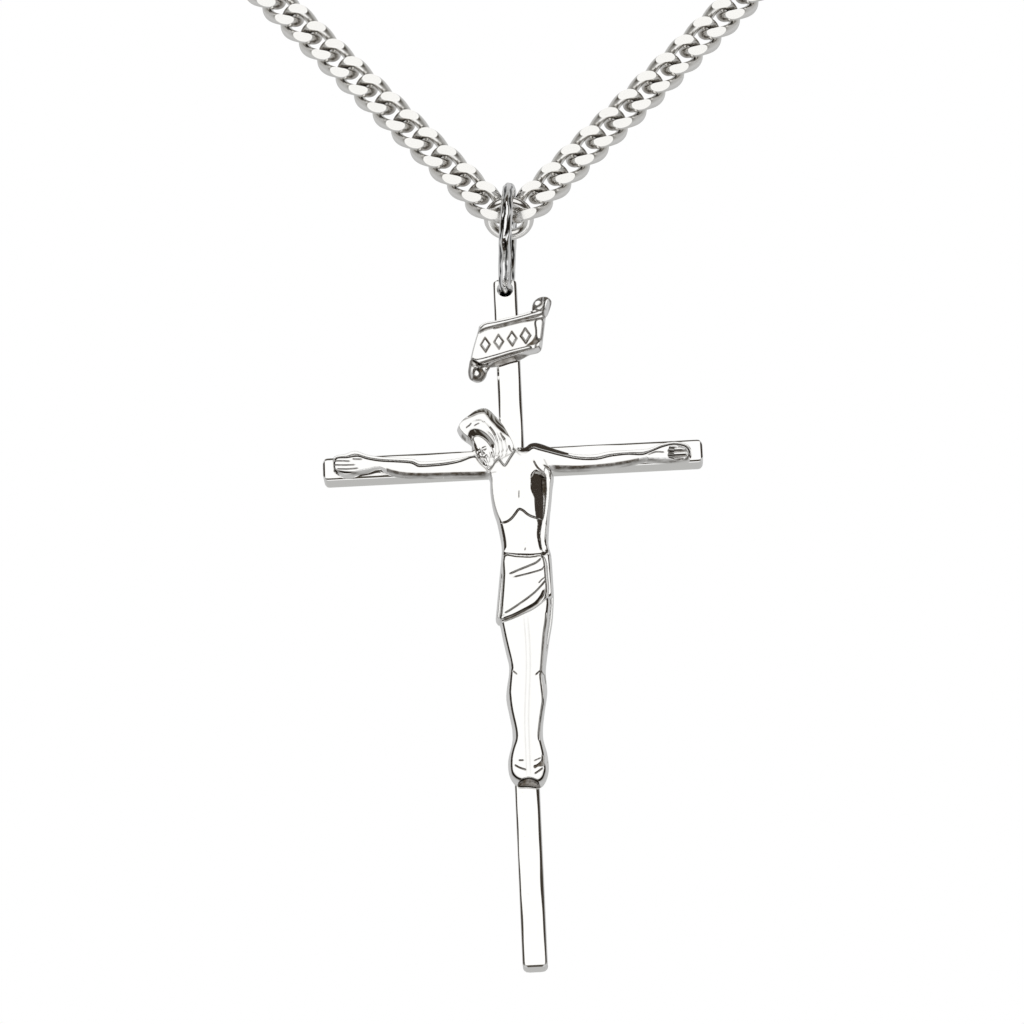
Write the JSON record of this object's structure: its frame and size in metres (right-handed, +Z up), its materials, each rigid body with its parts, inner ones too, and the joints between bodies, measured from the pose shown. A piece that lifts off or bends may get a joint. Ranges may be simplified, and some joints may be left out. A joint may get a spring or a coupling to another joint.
{
  "type": "crucifix pendant",
  "caption": "Slim square-bar crucifix pendant with a corpus in relief and a scroll plate, hung by a jump ring on the front run of a flat curb neck chain.",
  "frame": {"origin": "centre of the crossing on the back face of the bars", "axes": "+X to the viewer's right along the crossbar, +Z up along the upright, front towards -Y"},
  "size_m": [0.0374, 0.0084, 0.0721],
  "materials": {
    "cross_silver": "mirror-polished silver",
    "cast_silver": "polished cast silver, darker in the recesses",
    "ring_silver": "bright silver wire, slightly uneven",
    "chain_silver": "bright silver with ground flats"
  },
  "bodies": {
    "cross": {"cross_upright": "cross_silver", "crossbar": "cross_silver", "corpus": "cast_silver", "titulus_scroll": "cast_silver"},
    "ring": {"jump_ring": "ring_silver"},
    "link_centre": {"chain_link_centre": "chain_silver"},
    "link_left_01": {"chain_link_left_01": "chain_silver"},
    "link_left_02": {"chain_link_left_02": "chain_silver"},
    "link_left_03": {"chain_link_left_03": "chain_silver"},
    "link_left_04": {"chain_link_left_04": "chain_silver"},
    "link_left_05": {"chain_link_left_05": "chain_silver"},
    "link_left_06": {"chain_link_left_06": "chain_silver"},
    "link_left_07": {"chain_link_left_07": "chain_silver"},
    "link_left_08": {"chain_link_left_08": "chain_silver"},
    "link_left_09": {"chain_link_left_09": "chain_silver"},
    "link_left_10": {"chain_link_left_10": "chain_silver"},
    "link_left_11": {"chain_link_left_11": "chain_silver"},
    "link_left_12": {"chain_link_left_12": "chain_silver"},
    "link_left_13": {"chain_link_left_13": "chain_silver"},
    "link_right_01": {"chain_link_right_01": "chain_silver"},
    "link_right_02": {"chain_link_right_02": "chain_silver"},
    "link_right_03": {"chain_link_right_03": "chain_silver"},
    "link_right_04": {"chain_link_right_04": "chain_silver"},
    "link_right_05": {"chain_link_right_05": "chain_silver"},
    "link_right_06": {"chain_link_right_06": "chain_silver"},
    "link_right_07": {"chain_link_right_07": "chain_silver"},
    "link_right_08": {"chain_link_right_08": "chain_silver"},
    "link_right_09": {"chain_link_right_09": "chain_silver"},
    "link_right_10": {"chain_link_right_10": "chain_silver"},
    "link_right_11": {"chain_link_right_11": "chain_silver"},
    "link_right_12": {"chain_link_right_12": "chain_silver"},
    "link_right_13": {"chain_link_right_13": "chain_silver"}
  },
  "joints": [
    {"name": "pendant_swing", "type": "hinge", "parent": "cross", "child": "ring", "pos_m": [0, -0.0008, 0.01233], "axis": [0, 1, 0], "range_deg": [-30, 30]},
    {"name": "pendant_tip", "type": "hinge", "parent": "ring", "child": "link_centre", "pos_m": [0.00031, -0.0008, 0.01602], "axis": [0.9965, 0, -0.0837], "range_deg": [-50, 50]},
    {"name": "strand_left_01", "type": "hinge", "parent": "link_centre", "child": "link_left_01", "pos_m": [-0.00015, -0.00117, 0.0178], "axis": [0.3956, 0.862, 0.3169], "range_deg": [-20, 0]},
    {"name": "strand_left_02", "type": "hinge", "parent": "link_left_01", "child": "link_left_02", "pos_m": [-0.00183, -0.00117, 0.0199], "axis": [-0.6018, 0.6367, -0.4821], "range_deg": [-8, 8]},
    {"name": "strand_left_03", "type": "hinge", "parent": "link_left_02", "child": "link_left_03", "pos_m": [-0.00256, -0.00117, 0.0207], "axis": [0.4889, 0.7609, 0.4265], "range_deg": [-10, 10]},
    {"name": "strand_left_04", "type": "hinge", "parent": "link_left_03", "child": "link_left_04", "pos_m": [-0.00432, -0.00117, 0.02273], "axis": [-0.4889, 0.7609, -0.4265], "range_deg": [-15, 15]},
    {"name": "strand_left_05", "type": "hinge", "parent": "link_left_04", "child": "link_left_05", "pos_m": [-0.00505, -0.00117, 0.02356], "axis": [0.4889, 0.7609, 0.4265], "range_deg": [-15, 15]},
    {"name": "strand_left_06", "type": "hinge", "parent": "link_left_05", "child": "link_left_06", "pos_m": [-0.00682, -0.00117, 0.02559], "axis": [-0.4889, 0.7609, -0.4265], "range_deg": [-15, 15]},
    {"name": "strand_left_07", "type": "hinge", "parent": "link_left_06", "child": "link_left_07", "pos_m": [-0.00755, -0.00117, 0.02643], "axis": [0.4889, 0.7609, 0.4265], "range_deg": [-15, 15]},
    {"name": "strand_left_08", "type": "hinge", "parent": "link_left_07", "child": "link_left_08", "pos_m": [-0.00932, -0.00117, 0.02846], "axis": [-0.4889, 0.7609, -0.4265], "range_deg": [-15, 15]},
    {"name": "strand_left_09", "type": "hinge", "parent": "link_left_08", "child": "link_left_09", "pos_m": [-0.01005, -0.00117, 0.02929], "axis": [0.4889, 0.7609, 0.4265], "range_deg": [-15, 15]},
    {"name": "strand_left_10", "type": "hinge", "parent": "link_left_09", "child": "link_left_10", "pos_m": [-0.01182, -0.00117, 0.03132], "axis": [-0.4889, 0.7609, -0.4265], "range_deg": [-15, 15]},
    {"name": "strand_left_11", "type": "hinge", "parent": "link_left_10", "child": "link_left_11", "pos_m": [-0.01255, -0.00117, 0.03216], "axis": [0.4889, 0.7609, 0.4265], "range_deg": [-15, 15]},
    {"name": "strand_left_12", "type": "hinge", "parent": "link_left_11", "child": "link_left_12", "pos_m": [-0.01432, -0.00117, 0.03418], "axis": [-0.4889, 0.7609, -0.4265], "range_deg": [-15, 15]},
    {"name": "strand_left_13", "type": "hinge", "parent": "link_left_12", "child": "link_left_13", "pos_m": [-0.01505, -0.00117, 0.03502], "axis": [0.4889, 0.7609, 0.4265], "range_deg": [-15, 15]},
    {"name": "strand_right_01", "type": "hinge", "parent": "link_centre", "child": "link_right_01", "pos_m": [0.00107, -0.00117, 0.01774], "axis": [-0.3652, 0.862, 0.3515], "range_deg": [0, 20]},
    {"name": "strand_right_02", "type": "hinge", "parent": "link_right_01", "child": "link_right_02", "pos_m": [0.00294, -0.00117, 0.01968], "axis": [0.5556, 0.6367, -0.5347], "range_deg": [-8, 8]},
    {"name": "strand_right_03", "type": "hinge", "parent": "link_right_02", "child": "link_right_03", "pos_m": [0.00373, -0.00117, 0.02042], "axis": [-0.4483, 0.7609, 0.4691], "range_deg": [-10, 10]},
    {"name": "strand_right_04", "type": "hinge", "parent": "link_right_03", "child": "link_right_04", "pos_m": [0.00568, -0.00117, 0.02227], "axis": [0.4483, 0.7609, -0.4691], "range_deg": [-15, 15]},
    {"name": "strand_right_05", "type": "hinge", "parent": "link_right_04", "child": "link_right_05", "pos_m": [0.00648, -0.00117, 0.02304], "axis": [-0.4483, 0.7609, 0.4691], "range_deg": [-15, 15]},
    {"name": "strand_right_06", "type": "hinge", "parent": "link_right_05", "child": "link_right_06", "pos_m": [0.00843, -0.00117, 0.0249], "axis": [0.4483, 0.7609, -0.4691], "range_deg": [-15, 15]},
    {"name": "strand_right_07", "type": "hinge", "parent": "link_right_06", "child": "link_right_07", "pos_m": [0.00923, -0.00117, 0.02567], "axis": [-0.4483, 0.7609, 0.4691], "range_deg": [-15, 15]},
    {"name": "strand_right_08", "type": "hinge", "parent": "link_right_07", "child": "link_right_08", "pos_m": [0.01117, -0.00117, 0.02752], "axis": [0.4483, 0.7609, -0.4691], "range_deg": [-15, 15]},
    {"name": "strand_right_09", "type": "hinge", "parent": "link_right_08", "child": "link_right_09", "pos_m": [0.01198, -0.00117, 0.02829], "axis": [-0.4483, 0.7609, 0.4691], "range_deg": [-15, 15]},
    {"name": "strand_right_10", "type": "hinge", "parent": "link_right_09", "child": "link_right_10", "pos_m": [0.01392, -0.00117, 0.03015], "axis": [0.4483, 0.7609, -0.4691], "range_deg": [-15, 15]},
    {"name": "strand_right_11", "type": "hinge", "parent": "link_right_10", "child": "link_right_11", "pos_m": [0.01472, -0.00117, 0.03092], "axis": [-0.4483, 0.7609, 0.4691], "range_deg": [-15, 15]},
    {"name": "strand_right_12", "type": "hinge", "parent": "link_right_11", "child": "link_right_12", "pos_m": [0.01667, -0.00117, 0.03278], "axis": [0.4483, 0.7609, -0.4691], "range_deg": [-15, 15]},
    {"name": "strand_right_13", "type": "hinge", "parent": "link_right_12", "child": "link_right_13", "pos_m": [0.01747, -0.00117, 0.03354], "axis": [-0.4483, 0.7609, 0.4691], "range_deg": [-15, 15]}
  ]
}
